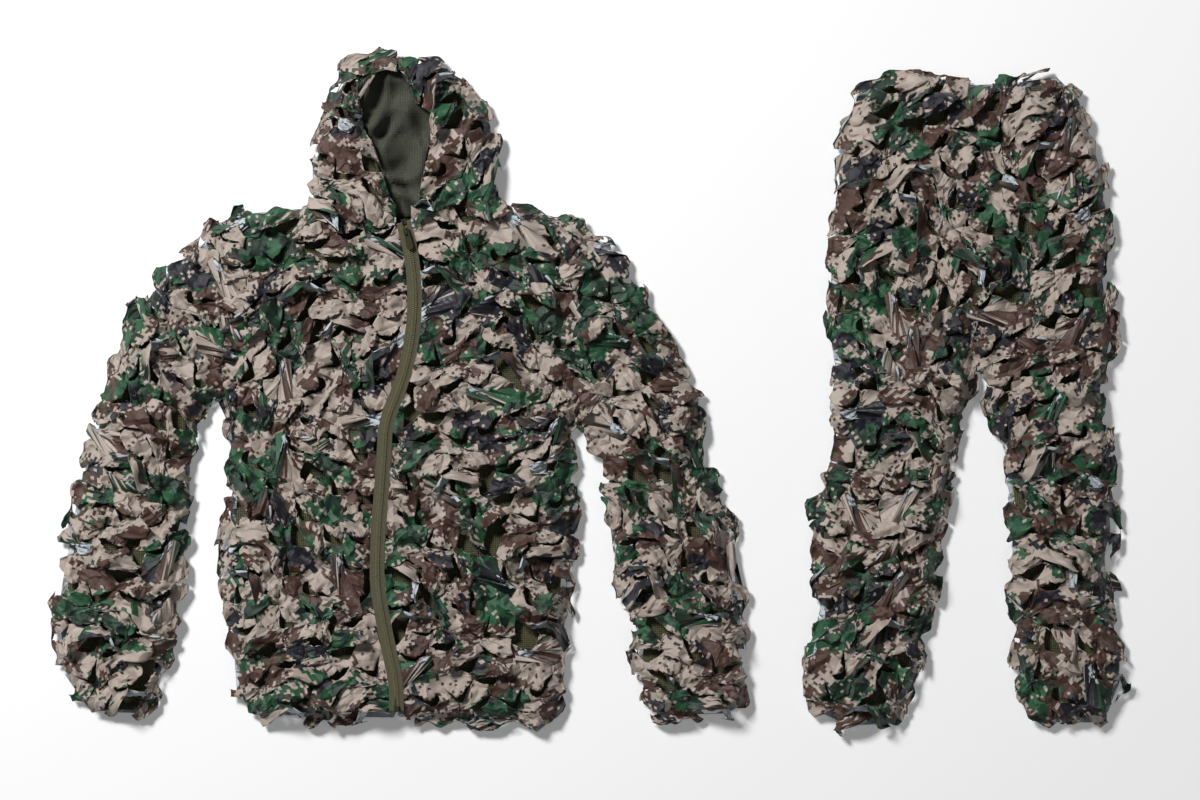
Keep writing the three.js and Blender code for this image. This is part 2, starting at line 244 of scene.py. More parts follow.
# Smaller blobs inside the green turn it to the darker green, which is painted shade.
greens = nodes.mix(blobs(7, 0.03, 0.5, 0.08, 1), GREEN, GREEN_PAINTED_SHADE)
colour = nodes.mix(blobs(1, 0.085, 0.555, 0.13, 1.3), colour, nodes.mix(stray(13, 0.035), greens, TAN))
colour = nodes.mix(blobs(3, 0.08, 0.635, 0.1, 1.2), colour, nodes.mix(stray(14, 0.05), NAVY, TAN))
nodes.feed(out.inputs["Color"], colour)
print("dot print:", len(camo_and_painted_shade.nodes), "nodes")

# %% A weave as a node group: two crossed waves, and wandering creases
weave, nodes, given, out = new_group(
    "weave",
    [
        ("Cloth", "NodeSocketVector", None),
        ("Threads per metre", "NodeSocketFloat", 1500.0),
        ("Thread height", "NodeSocketFloat", 0.00004),
        ("Crease size", "NodeSocketFloat", 30.0),
        ("Crease share", "NodeSocketFloat", 0.32),
    ],
    [("Height", "NodeSocketFloat")],
)
across = nodes.add("ShaderNodeSeparateXYZ")
nodes.feed(across.inputs[0], given.outputs["Cloth"])
turns = nodes.math("MULTIPLY", given.outputs["Threads per metre"], 2 * math.pi)
warp_wave = nodes.math("SINE", nodes.math("MULTIPLY", across.outputs["X"], turns))
weft_wave = nodes.math("SINE", nodes.math("MULTIPLY", across.outputs["Y"], turns))
bent = nodes.add("ShaderNodeTexNoise", Vector=given.outputs["Cloth"], Scale=18.0, Detail=2.0)
shift = nodes.add("ShaderNodeVectorMath", {"operation": "MULTIPLY_ADD"})
nodes.feed(shift.inputs[0], bent.outputs["Color"])
nodes.feed(shift.inputs[1], (0.05, 0.05, 0.05))
nodes.feed(shift.inputs[2], given.outputs["Cloth"])
folds = nodes.add("ShaderNodeTexVoronoi", {"distance": "MANHATTAN"}, Vector=shift.outputs[0])
nodes.feed(folds.inputs["Scale"], given.outputs["Crease size"])
thread = nodes.math("MULTIPLY", nodes.math("ADD", warp_wave, weft_wave), given.outputs["Thread height"])
facet = nodes.math("DIVIDE", folds.outputs["Distance"], given.outputs["Crease size"])
height = nodes.math("MULTIPLY_ADD", facet, given.outputs["Crease share"], thread)
nodes.feed(out.inputs["Height"], height)
print("weave:", len(weave.nodes), "nodes")


# %% Leaf cloth: the printed face, whose green carries some painted shade, and the bare underside
def cloth_material(name, colour, roughness, sheen, printed):
    material, nodes, shader = new_material(name)
    cloth = nodes.add("ShaderNodeUVMap", {"uv_map": "flat"})
    if printed:
        print_and_shade_node = nodes.add("ShaderNodeGroup", {"node_tree": camo_and_painted_shade}, Cloth=cloth.outputs[0])
        nodes.feed(shader.inputs["Base Color"], print_and_shade_node.outputs[0])
    else:
        shader.inputs["Base Color"].default_value = colour
    relief = nodes.add("ShaderNodeGroup", {"node_tree": weave}, Cloth=cloth.outputs[0])
    bump = nodes.add("ShaderNodeBump", Height=relief.outputs[0], Strength=1.0, Distance=1.0)
    nodes.feed(shader.inputs["Normal"], bump.outputs[0])
    shader.inputs["Roughness"].default_value = roughness
    shader.inputs["Sheen Weight"].default_value = sheen
    shader.inputs["Sheen Roughness"].default_value = 0.4
    return material


leaf_face = cloth_material("leaf_print_and_painted_shade", None, 0.46, 0.12, True)
leaf_back = cloth_material("leaf_underside", UNDERSIDE, 0.5, 0.1, False)


# %% Net: round holes between knitted strands; the holes are painted near black as shade, and a noise darkens the strands with painted shade
def net_material(name, painted_hole_shade, strand, pitch, painted_strand_shade):
    material, nodes, shader = new_material(name)
    cloth = nodes.add("ShaderNodeUVMap", {"uv_map": "flat"})
    holes = nodes.add("ShaderNodeTexVoronoi", Vector=cloth.outputs[0], Scale=1 / pitch, Randomness=0.25)
    near = nodes.add("ShaderNodeMapRange", Value=holes.outputs["Distance"], From_Min=0.22, From_Max=0.42)
    # Painted shade on the strands: a noise blends them towards a darker colour, at random places, not at the
    # folds.
    shade = nodes.add("ShaderNodeTexNoise", Vector=cloth.outputs[0], Scale=30.0, Detail=2.0)
    strands = nodes.mix(shade.outputs[0], strand, painted_strand_shade)
    # The holes get the near-black colour, painted shade of the inside seen through the net.
    nodes.feed(shader.inputs["Base Color"], nodes.mix(near.outputs[0], painted_hole_shade, strands))
    bump = nodes.add("ShaderNodeBump", Height=near.outputs[0], Strength=0.8, Distance=0.0012)
    nodes.feed(shader.inputs["Normal"], bump.outputs[0])
    shader.inputs["Roughness"].default_value = 0.7
    shader.inputs["Sheen Weight"].default_value = 0.2
    return material


# For each net the first colour, the near-black holes, and the last colour, the darker strand tint, are
# painted shade.
net_finish = net_material("net", NET_HOLE_PAINTED_SHADE, NET_STRAND, 0.0034, linear(64, 62, 34))
hood_net_finish = net_material("hood_net", linear(12, 13, 8), linear(72, 74, 54), 0.0031, linear(44, 46, 34))


# %% Trim: tape, elastic and the zip's plastic and metal
def trim_material(name, colour, roughness, metallic, threads, strength, coordinate="UV"):
    material, nodes, shader = new_material(name)
    if coordinate == "UV":
        place = nodes.add("ShaderNodeUVMap", {"uv_map": "flat"}).outputs[0]
    else:
        place = nodes.add("ShaderNodeTexCoord").outputs["Object"]
    tone = nodes.add("ShaderNodeTexNoise", Vector=place, Scale=220.0, Detail=3.0)
    darker = tuple(0.6 * c for c in colour[:3]) + (1,)
    lighter = tuple(min(1, 1.2 * c) for c in colour[:3]) + (1,)
    nodes.feed(shader.inputs["Base Color"], nodes.mix(tone.outputs[0], darker, lighter))
    relief = nodes.add("ShaderNodeGroup", {"node_tree": weave}, Cloth=place)
    relief.inputs["Threads per metre"].default_value = threads
    relief.inputs["Thread height"].default_value = 0.0002
    relief.inputs["Crease share"].default_value = 0
    bump = nodes.add("ShaderNodeBump", Height=relief.outputs[0], Strength=strength, Distance=1.0)
    nodes.feed(shader.inputs["Normal"], bump.outputs[0])
    shader.inputs["Roughness"].default_value = roughness
    shader.inputs["Metallic"].default_value = metallic
    return material


tape_finish = trim_material("zip_tape", linear(98, 94, 71), 0.75, 0, 900, 0.8)
teeth_finish = trim_material("zip_teeth", linear(132, 128, 98), 0.38, 0, 900, 0.05, "Object")
metal_finish = trim_material("zip_metal", linear(88, 86, 66), 0.34, 0.75, 900, 0.05, "Object")
elastic_finish = trim_material("elastic", linear(58, 58, 42), 0.8, 0, 420, 1.0, "Object")
binding_finish = trim_material("binding", linear(64, 64, 42), 0.8, 0, 700, 0.8, "Object")

floor_material, nodes, shader = new_material("paper")
grain = nodes.add("ShaderNodeTexNoise", Scale=3.0)
pale, paler = (0.93, 0.93, 0.93, 1), (0.95, 0.95, 0.95, 1)
nodes.feed(shader.inputs["Base Color"], nodes.mix(grain.outputs[0], pale, paler))
shader.inputs["Roughness"].default_value = 0.9
shader.inputs["Emission Color"].default_value = (1, 1, 1, 1)
shader.inputs["Emission Strength"].default_value = 0.14
floor.data.materials.append(floor_material)
print("materials:", len(bpy.data.materials))

# %% [markdown]
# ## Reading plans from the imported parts
# Each panel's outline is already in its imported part, as the top edges of its upright faces.
# The cloth is cut to those outlines, and how far a point lies from the garment's silhouette
# says how far the cloth has rounded down towards the floor there.


# %% Outline helpers
@cache
def outline_of(node):
    """The plan of a part as unordered segments, an array of rows x0, y0, x1, y1."""
    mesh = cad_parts[node].data
    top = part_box(node)[1][2]
    rows = []
    for face in mesh.polygons:
        if abs(face.normal.z) > 0.1:
            continue
        ends = [mesh.vertices[i].co for i in face.vertices]
        for a, b in zip(ends, ends[1:] + ends[:1]):
            if top - a.z < 1e-5 and top - b.z < 1e-5 and (a - b).length > 1e-6:
                rows.append((a.x, a.y, b.x, b.y))
    return np.array(rows)


def nearest_on(points, segments):
    """Each point's distance to the nearest of the segments, and the point it is nearest to."""
    best = np.full(len(points), 9.0)
    foot = points.copy()
    for x0, y0, x1, y1 in segments:
        along = np.array((x1 - x0, y1 - y0))
        share = np.clip((points - (x0, y0)) @ along / max(along @ along, 1e-12), 0, 1)
        there = (x0, y0) + share[:, None] * along
        gap = np.hypot(*(points - there).T)
        closer = gap < best
        best[closer], foot[closer] = gap[closer], there[closer]
    return best, foot


def distance_to(points, segments):
    return nearest_on(points, segments)[0]


# %% Inside an outline, and its seams
def inside(points, segments):
    """Even-odd test of each point against the outline that the segments close."""
    odd = np.zeros(len(points), bool)
    for x0, y0, x1, y1 in segments:
        crosses = (y0 > points[:, 1]) != (y1 > points[:, 1])
        if crosses.any():
            at = x0 + (points[:, 1] - y0) / (y1 - y0 if y1 != y0 else 1) * (x1 - x0)
            odd ^= crosses & (points[:, 0] < at)
    return odd


SEAM_REACH = 1.5 * MM


def split_seams(node, neighbours):
    """A part's outline in two: the segments it shares with a neighbour, and the rest."""
    segments = outline_of(node)
    middles = (segments[:, :2] + segments[:, 2:]) / 2
    shared = np.zeros(len(segments), bool)
    for other in neighbours:
        if other != node:
            shared |= distance_to(middles, outline_of(other)) < SEAM_REACH
    return segments[shared], segments[~shared]


# %% The garments' silhouettes
GARMENTS = {
    "jacket": [
        "jacket_back_leaves", "hood_back_leaves",
        "left_sleeve_back_leaves", "right_sleeve_back_leaves",
    ],
    "trousers": [
        "trousers_left_back_leaves", "trousers_right_back_leaves",
        "left_lower_leg_back_leaves", "right_lower_leg_back_leaves",
    ],
}
halves = {garment: [split_seams(node, parts) for node in parts] for garment, parts in GARMENTS.items()}
seam_lines = {garment: np.vstack([seam for seam, rest in pairs]) for garment, pairs in halves.items()}
silhouettes = {garment: np.vstack([rest for seam, rest in pairs]) for garment, pairs in halves.items()}


def in_garment(points, garment):
    """Whether each point is over the garment, its seams included."""
    over = distance_to(points, seam_lines[garment]) < 1 * MM
    for part in GARMENTS[garment]:
        over |= inside(points, outline_of(part))
    return over


print({garment: len(rows) for garment, rows in silhouettes.items()}, "silhouette segments")


# %% The zip's centre line, read between its two tapes
def crossings(segments, y):
    """Where a level line crosses the segments, from left to right."""
    rows = segments[(segments[:, 1] > y) != (segments[:, 3] > y)]
    share = (y - rows[:, 1]) / (rows[:, 3] - rows[:, 1])
    return np.sort(rows[:, 0] + share * (rows[:, 2] - rows[:, 0]))


def outline_area(outline):
    """The area inside an outline, by measuring level strips across it."""
    levels = np.linspace(outline[:, 1].min(), outline[:, 1].max(), 402)[1:-1]
    rows = [crossings(outline, y) for y in levels]
    widths = [float(np.sum(row[1::2] - row[:-1:2])) for row in rows]
    return float(np.mean(widths) * np.ptp(outline[:, 1]))


tape_left, tape_right = outline_of("zip_tape_left"), outline_of("zip_tape_right")
zip_low = max(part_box("zip_tape_left")[0][1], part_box("zip_tape_right")[0][1]) + MM
zip_high = min(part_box("zip_tape_left")[1][1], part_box("zip_tape_right")[1][1]) - 4 * MM
zip_y = np.linspace(zip_low, zip_high, 160)
zip_x = np.array([(crossings(tape_left, y)[-1] + crossings(tape_right, y)[0]) / 2 for y in zip_y])
zip_slope = np.gradient(zip_x, zip_y)
print("zip length", round(float(np.sum(np.hypot(np.diff(zip_x), np.diff(zip_y)))), 3), "m")


def from_zip(points):
    """How far each point lies to the right of the zip's centre line, square to it."""
    x = np.interp(points[:, 1], zip_y, zip_x)
    slope = np.interp(points[:, 1], zip_y, zip_slope)
    return (points[:, 0] - x) / np.hypot(1, slope)


# %% [markdown]
# ## The slit cloth
# The cloth is cut as a flat grid. Rows of bowed slits, shifted by half a leaf from row to
# row, leave narrow bridges between leaves. Then it is gathered to about two thirds of its
# size and each leaf is turned up a little, some right over. A short cloth simulation grows
# it by a few per cent while it is held where it is sewn to the net, so that it buckles and
# the slits part. Every panel takes its leaves from this one length.
# %% The cut: a grid, warped so that its rows are the slits
CELL = 0.005
LEAF_ACROSS = 16
LEAF_ROWS = 10
ACROSS, ALONG = 144, 140
BOW = 0.03
DRIFT_ACROSS, DRIFT_ALONG = 0.022, 0.03
GATHER = 0.68
WRINKLE, FINE_WRINKLE = 0.008, 0.004
draw = random.Random(4)
leaf_habits = {}


def leaf_shift(row):
    return LEAF_ACROSS // 2 if row % 2 else 0


def habit(row, place):
    if (row, place) not in leaf_habits:
        over = draw.random() < 0.2
        leaf_habits[row, place] = {
            "turn": math.radians(draw.uniform(80, 165) if over else draw.uniform(-20, 80)),
            "twist": draw.uniform(-0.9, 0.9),
            "uncut": draw.random() < 0.04,
            "forked": draw.random() < 0.3,
            "fork_at": LEAF_ACROSS // 2 + draw.choice((-2, -1, 0, 1, 2)),
            "wide_bridge": draw.random() < 0.3,
            "depth": draw.uniform(0.65, 1.35),
            "tip": draw.uniform(0.32, 0.68),
        }
    return leaf_habits[row, place]


def bow(i, row):
    """How far the slit at the foot of a row hangs below its line, at column i."""
    along = (i - 0.5 + leaf_shift(row)) / LEAF_ACROSS
    leaf = habit(row, math.floor(along))
    share = along % 1
    rise = share / leaf["tip"] if share < leaf["tip"] else (1 - share) / (1 - leaf["tip"])
    return -(0.5 * rise + 0.5 * math.sin(rise * math.pi / 2)) * BOW * leaf["depth"]


def flat_place(i, j):
    row = math.floor(j / LEAF_ROWS)
    share = j / LEAF_ROWS - row
    u = i * CELL
    v = j * CELL + bow(i, row) * (1 - share) + bow(i, row + 1) * share
    drift = Vector((u * 5, v * 5, 0))
    return (
        u + DRIFT_ACROSS * noise.noise(drift + Vector((0, 0, 1.3))),
        v + DRIFT_ALONG * noise.noise(drift + Vector((0, 0, 8.1))),
    )


print("cut:", ACROSS * CELL, "by", ALONG * CELL, "m,", LEAF_ACROSS * CELL, "m leaves")


# %% Cut the slits
cloth_bm = bmesh.new()
column = cloth_bm.verts.layers.float.new("column")
level = cloth_bm.verts.layers.float.new("level")
leaf = cloth_bm.faces.layers.int.new("leaf")
flat_uv = cloth_bm.loops.layers.uv.new("flat")
bmesh.ops.create_grid(cloth_bm, x_segments=ACROSS, y_segments=ALONG, size=0.5)
for v in cloth_bm.verts:
    v[column] = round((v.co.x + 0.5) * ACROSS)
    v[level] = round((v.co.y + 0.5) * ALONG)
for face in cloth_bm.faces:
    i = sum(v[column] for v in face.verts) / 4
    row = int(sum(v[level] for v in face.verts) / 4 // LEAF_ROWS)
    face[leaf] = row * 1000 + int((i - 0.5 + leaf_shift(row)) // LEAF_ACROSS)


def is_slit(edge):
    a, b = edge.verts
    i, j = int(min(a[column], b[column])), int(min(a[level], b[level]))
    row = j // LEAF_ROWS
    along = i + leaf_shift(row)
    habits = habit(row, along // LEAF_ACROSS)
    place = along % LEAF_ACROSS
    if a[level] == b[level]:
        bridge = (0, LEAF_ACROSS - 1) if habits["wide_bridge"] else (0,)
        on_row = j % LEAF_ROWS == 0 and 0 < j < ALONG
        return on_row and not habits["uncut"] and place not in bridge
    return habits["forked"] and place == habits["fork_at"] and j % LEAF_ROWS < 2 and row > 0


slits = [edge for edge in cloth_bm.edges if is_slit(edge)]
bmesh.ops.split_edges(cloth_bm, edges=slits)
print("leaves cut:", len(leaf_habits), "slit edges:", len(slits))

# %% Gather it and turn the leaves up
flat_cloth, turned_cloth, sewn = [], [], []
cloth_bm.verts.index_update()
for v in cloth_bm.verts:
    i, j = v[column], v[level]
    middle = sum(f.calc_center_median().y for f in v.link_faces) / len(v.link_faces)
    on_slit = j % LEAF_ROWS == 0
    row = int(((middle + 0.5) * ALONG if on_slit else j) // LEAF_ROWS)
    along = i - 0.5 + leaf_shift(row)
    habits = habit(row, int(along // LEAF_ACROSS))
    share = along / LEAF_ACROSS % 1
    rise = share / habits["tip"] if share < habits["tip"] else (1 - share) / (1 - habits["tip"])
    u, w = flat_place(i, j)
    x, y = u * GATHER, w * GATHER
    fine = FINE_WRINKLE * noise.noise(Vector((u * 90, w * 90, 7)))
    z = WRINKLE + WRINKLE * noise.noise(Vector((u * 28, w * 28, 3))) + fine
    hang = (0.9 * LEAF_ROWS - (j - row * LEAF_ROWS)) * CELL
    if hang > 0:
        turn = habits["turn"] * rise**0.6
        y += hang * GATHER * (1 - math.cos(turn))
        z += hang * 0.85 * math.sin(turn) * (1 if turn > 0 else 0.3)
        x += habits["twist"] * hang * abs(math.sin(turn))
    flat_cloth.append((u, w))
    turned_cloth.append((x, y, max(z, 0.0005)))
    at_bridge = (i + leaf_shift(int(j // LEAF_ROWS))) % LEAF_ACROSS in (0, 1)
    if j % (2 * LEAF_ROWS) == 0 and at_bridge and (i // LEAF_ACROSS + j // (2 * LEAF_ROWS)) % 2 == 0:
        sewn.append(v.index)
for face in cloth_bm.faces:
    for loop in face.loops:
        loop[flat_uv].uv = flat_cloth[loop.vert.index]
for v, place in zip(cloth_bm.verts, turned_cloth):
    v.co = place
cloth_mesh = bpy.data.meshes.new("leaf_cloth")
cloth_bm.to_mesh(cloth_mesh)
cloth_bm.free()
print("cloth points:", len(cloth_mesh.vertices), "sewn:", len(sewn))

# %% Let it relax
SETTLE_FRAMES = 12
length = bpy.data.objects.new("leaf_cloth", cloth_mesh)
scene.collection.objects.link(length)
length.vertex_groups.new(name="sewn").add(sewn, 1.0, "REPLACE")
table_mesh = bpy.data.meshes.new("sewing_table")
bm = bmesh.new()
bmesh.ops.create_grid(bm, x_segments=1, y_segments=1, size=2)
bmesh.ops.translate(bm, verts=bm.verts, vec=(0, 0, -0.002))
bm.to_mesh(table_mesh)
bm.free()
table = bpy.data.objects.new("sewing_table", table_mesh)
scene.collection.objects.link(table)
table.modifiers.new("stop", "COLLISION")
spring = length.modifiers.new("spring", "CLOTH")
spring.settings.shrink_min = -0.06
spring.settings.vertex_group_mass = "sewn"
spring.settings.quality = 3
spring.settings.mass = 0.1
spring.settings.tension_stiffness = 30
spring.settings.compression_stiffness = 30
spring.settings.shear_stiffness = 10
spring.settings.bending_stiffness = 0.05
spring.settings.tension_damping = 8
spring.settings.compression_damping = 8
spring.settings.shear_damping = 8
spring.settings.air_damping = 5
spring.settings.effector_weights.gravity = 0
spring.collision_settings.distance_min = 0.002
spring.point_cache.frame_end = SETTLE_FRAMES + 2
for step in range(1, SETTLE_FRAMES + 1):
    scene.frame_set(step)
settled = bpy.data.meshes.new_from_object(length.evaluated_get(bpy.context.evaluated_depsgraph_get()))
scene.frame_set(1)
bpy.data.objects.remove(table)
bpy.data.objects.remove(length)
places = np.empty(3 * len(settled.vertices))
settled.vertices.foreach_get("co", places)
places = places.reshape(-1, 3)
print("settled cloth", places.min(0).round(3), places.max(0).round(3))

# %% [markdown]
# ## Panels of leaf cloth
# A panel takes a stretch of the settled cloth, turned or mirrored so that no two look alike,
# keeps the leaves whose middles lie in its outline, and is laid over the garment's shape:
# high in the middle and rounding down at the silhouette. Leaves are kept or dropped whole,
# which gives the ragged outline of the real thing.
# %% The settled cloth as numbers: leaves, their middles and their flat areas
corner_of = np.array([loop.vertex_index for loop in settled.loops]).reshape(-1, 4)
flat_corner = np.array([tuple(uv.uv) for uv in settled.uv_layers["flat"].data]).reshape(-1, 4, 2)
leaf_of_face = np.array([value.value for value in settled.attributes["leaf"].data])
middle_of_cloth = (places[:, :2].min(0) + places[:, :2].max(0)) / 2
diagonals = flat_corner[:, 2] - flat_corner[:, 0], flat_corner[:, 3] - flat_corner[:, 1]
first, second = diagonals
flat_area_of_face = np.abs(first[:, 0] * second[:, 1] - first[:, 1] * second[:, 0]) / 2
leaf_names, leaf_index = np.unique(leaf_of_face, return_inverse=True)
faces_in_leaf = np.bincount(leaf_index)
face_middle = places[corner_of][:, :, :2].mean(1) - middle_of_cloth
leaf_middle = np.column_stack([np.bincount(leaf_index, face_middle[:, k]) for k in (0, 1)])
leaf_middle /= faces_in_leaf[:, None]
cut_middle = np.column_stack([np.bincount(leaf_index, flat_corner.mean(1)[:, k]) for k in (0, 1)])
cut_middle /= faces_in_leaf[:, None]
selvedge = 0.05
usable = ((cut_middle > selvedge) & (cut_middle < (ACROSS * CELL - selvedge, ALONG * CELL - selvedge))).all(1)
print("leaves:", len(leaf_names), "cut area", round(float(flat_area_of_face.sum()), 3))

# %% How panels are laid
RISE_WIDTH = 55 * MM
EDGE_HEIGHT = 7 * MM
PANEL_TOP = 21 * MM
HOOD_TOP = 25 * MM
LEAF_SHARE = 0.58
LEAF_LIMIT = 44 * MM
UNDER_LOW, UNDER_HIGH = 1.0 * MM, 9 * MM
OVERHANG = 19 * MM
RAGGED = 2.2
TIP_SPACING = 34 * MM
SEAM_LAP = 15 * MM
ACROSS_SEAM = 45 * MM
PATCH = 0.19
PATCH_LAP = 14 * MM
CLOTH_THICKNESS = 0.45 * MM
PRESSED_FLAT = math.radians(7)
ZIP_CLEAR = 11.5 * MM
TAPE_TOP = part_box("zip_tape_left")[1][2]


def wander(points, size, seed):
    """Soft noise of one size, read at each point."""
    return np.array([noise.noise(Vector((x / size, y / size, seed))) for x, y in points])


def crown(distance, low, high):
    """The garment's upper surface: an elliptic shoulder from the silhouette inwards."""
    share = np.clip(distance / RISE_WIDTH, 0, 1)
    return low + (high - low) * np.sqrt(1 - (1 - share) ** 2)


def object_from(bm, name, material):
    mesh = bpy.data.meshes.new(name)
    bm.to_mesh(mesh)
    bm.free()
    mesh.materials.append(material)
    piece = bpy.data.objects.new(name, mesh)
    scene.collection.objects.link(piece)
    for face in mesh.polygons:
        face.use_smooth = True
    return piece


def patch_centres(low, high, dice):
    """A loose triangular lattice of patch centres over a box."""
    centres = []
    rows = max(1, math.ceil((high[1] - low[1]) / (PATCH * 0.87)))
    for row in range(rows):
        columns = max(1, math.ceil((high[0] - low[0]) / PATCH + 0.5 * (row % 2)))
        for k in range(columns):
            x = (low[0] + high[0]) / 2 + (k - (columns - 1) / 2) * PATCH
            y = low[1] + (row + 0.5) * (high[1] - low[1]) / rows
            centres.append((x + dice.uniform(-0.03, 0.03), y + dice.uniform(-0.03, 0.03)))
    return np.array(centres)


print("shoulder height:", [round(float(crown(d * MM, EDGE_HEIGHT, PANEL_TOP)), 4) for d in (0, 10, 55)])


# %% Choose a patch's leaves
def leaves_kept(middles, centres, number, outline, seams, rest):
    """A leaf belongs to the nearest patch, and is kept if its middle is over the panel."""
    own = np.hypot(*(middles - centres[number]).T)
    others = np.delete(centres, number, 0)
    nearest_other = np.full(len(own), 9.0)
    if len(others):
        nearest_other = np.linalg.norm(middles[:, None] - others[None], axis=2).min(1)
    near = inside(middles, outline) | (distance_to(middles, rest) < OVERHANG)
    if len(seams):
        near |= distance_to(middles, seams) < SEAM_LAP
    return usable & (own < nearest_other + PATCH_LAP) & near


# %% Draw a patch in at its panel's edge
def drawn_in(plan, node, neighbours, seams, rest, garment, upper):
    """Points past the panel's free edge are drawn in, so that the cloth bunches there."""
    covered = inside(plan, outline_of(node))
    if len(seams):
        seam_gap = distance_to(plan, seams)
        beyond_seam = np.any([inside(plan, outline_of(part)) for part in neighbours if part != node], axis=0)
        covered |= (seam_gap < 1 * MM) | ((seam_gap < ACROSS_SEAM) & beyond_seam)
    gap, foot = nearest_on(plan, rest)
    tips = OVERHANG * np.clip(1 + RAGGED * wander(foot, TIP_SPACING, 7.0), 0.2, 1.6) if upper else 1 * MM
    limit = np.where(distance_to(foot, silhouettes[garment]) < 2 * MM, tips, 3 * MM)
    reach = limit * (1 - np.exp(-gap / limit)) / np.maximum(gap, 1e-9)
    return np.where(covered[:, None], plan, foot + (plan - foot) * reach[:, None])


# %% Give a patch its height
def laid_height(plan, rise, body, garment, upper):
    """The garment's own height at each point, and the cloth's relief on top of it."""
    lift = rise * LEAF_SHARE
    half = LEAF_LIMIT / 2
    lift = np.where(lift > half, LEAF_LIMIT - half * np.exp(1 - lift / half), lift)
    if not upper:
        return UNDER_HIGH - np.minimum(lift * 0.3, UNDER_HIGH - UNDER_LOW)
    edge = distance_to(plan, silhouettes[garment]) * np.where(in_garment(plan, garment), 1, -1)
    top = HOOD_TOP if body == "hood" else PANEL_TOP
    return crown(edge, EDGE_HEIGHT, top) + lift * np.clip(0.7 + edge / (50 * MM), 0.45, 1)


def beside_zip(plan, height, zip_side):
    """Cloth beside the zip comes down to its tape and stops at the tape's edge."""
    side = zip_side * from_zip(plan)
    share = np.clip((side - ZIP_CLEAR) / (18 * MM), 0, 1) ** 0.5
    height = np.where(side < 1, height * share + (1 - share) * TAPE_TOP, height)
    shift = np.maximum(ZIP_CLEAR - side, 0) * zip_side
    return plan + np.column_stack((shift, np.zeros(len(plan)))), height, side < ZIP_CLEAR


# %% Lay a patch
def surface_of(kept_face, coordinates):
    """The area of a patch's leaves as they lie in the panel."""
    a, b, c, d = (coordinates[corner_of[kept_face][:, k]] for k in range(4))
    halves_of_faces = np.cross(b - a, c - a), np.cross(c - a, d - a)
    return sum(float(np.linalg.norm(half, axis=1).sum()) for half in halves_of_faces) / 2


def lay_patch(bm, kept_face, coordinates, print_shift, cut_scale, turned_over):
    """Adds a copy of the settled cloth to a panel, moved into place and cut to its leaves."""
    patch = settled.copy()
    patch.vertices.foreach_set("co", coordinates.ravel())
    on_print = flat_corner.reshape(-1, 2) * cut_scale + print_shift
    patch.uv_layers["flat"].data.foreach_set("uv", on_print.ravel())
    if turned_over:
        patch.flip_normals()
    trimmed = bmesh.new()
    trimmed.from_mesh(patch)
    trimmed.faces.ensure_lookup_table()
    cut_away = [trimmed.faces[k] for k in np.flatnonzero(~kept_face)]
    bmesh.ops.delete(trimmed, geom=cut_away, context="FACES")
    trimmed.to_mesh(patch)
    trimmed.free()
    bm.from_mesh(patch)
    bpy.data.meshes.remove(patch)


# %% Lay a whole panel
def leaf_panel(name, node, body, garment, neighbours, upper, print_at, zip_side=0):
    dice = random.Random(node)
    seams, rest = split_seams(node, neighbours)
    outline = np.vstack([seams, rest])
    centres = patch_centres(outline[:, :2].min(0), outline[:, :2].max(0), dice)
    patches = []
    for number, centre in enumerate(centres):
        turn = dice.choice((-1, 1)) * dice.uniform(0.15, 1.1)
        flip = dice.choice((-1, 1))
        spin = np.array(((math.cos(turn), math.sin(turn)), (-math.sin(turn), math.cos(turn))))
        middles = (leaf_middle * (flip, 1)) @ spin + centre
        kept_face = leaves_kept(middles, centres, number, outline, seams, rest)[leaf_index]
        if not kept_face.any():
            continue
        used = np.unique(corner_of[kept_face])
        plan = ((places[used, :2] - middle_of_cloth) * (flip, 1)) @ spin + centre
        plan = drawn_in(plan, node, neighbours, seams, rest, garment, upper)
        height = laid_height(plan, places[used, 2], body, garment, upper)
        if zip_side:
            plan, height, crushed = beside_zip(plan, height, zip_side)
            stopped = np.zeros(len(places), bool)
            stopped[used] = crushed
            kept_face &= ~stopped[corner_of].all(1)
        coordinates = places.copy()
        coordinates[used] = np.column_stack((plan, height))
        shift = np.array(print_at) + (1.3 * number, 0.7 * number)
        patches.append((kept_face, coordinates, shift, (flip == 1) != upper))
    # Cloth doesn't stretch: the panel's cut is scaled to the surface that it has here.
    flat_area = sum(surface_of(kept_face, coordinates) for kept_face, coordinates, _, _ in patches)
    cut_area = sum(float(flat_area_of_face[kept_face].sum()) for kept_face, _, _, _ in patches)
    cut_scale = math.sqrt(flat_area / cut_area)
    bm = bmesh.new()
    for kept_face, coordinates, shift, turned_over in patches:
        lay_patch(bm, kept_face, coordinates, shift, cut_scale, turned_over)
    if not upper:
        bmesh.ops.dissolve_limit(bm, angle_limit=PRESSED_FLAT, verts=bm.verts, edges=bm.edges, delimit={"UV"})
        bmesh.ops.triangulate(bm, faces=bm.faces)
    piece = object_from(bm, name, leaf_face)
    piece.data.materials.append(leaf_back)
    wall = piece.modifiers.new("thickness", "SOLIDIFY")
    wall.thickness = CLOTH_THICKNESS
    wall.offset = -1
    wall.material_offset = 1
    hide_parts(node)
    print(name, len(piece.data.polygons), "faces,", len(patches), "patches,", end=" ")
    print(round(flat_area, 3), "m2, cut scale", round(cut_scale, 3))
    return piece


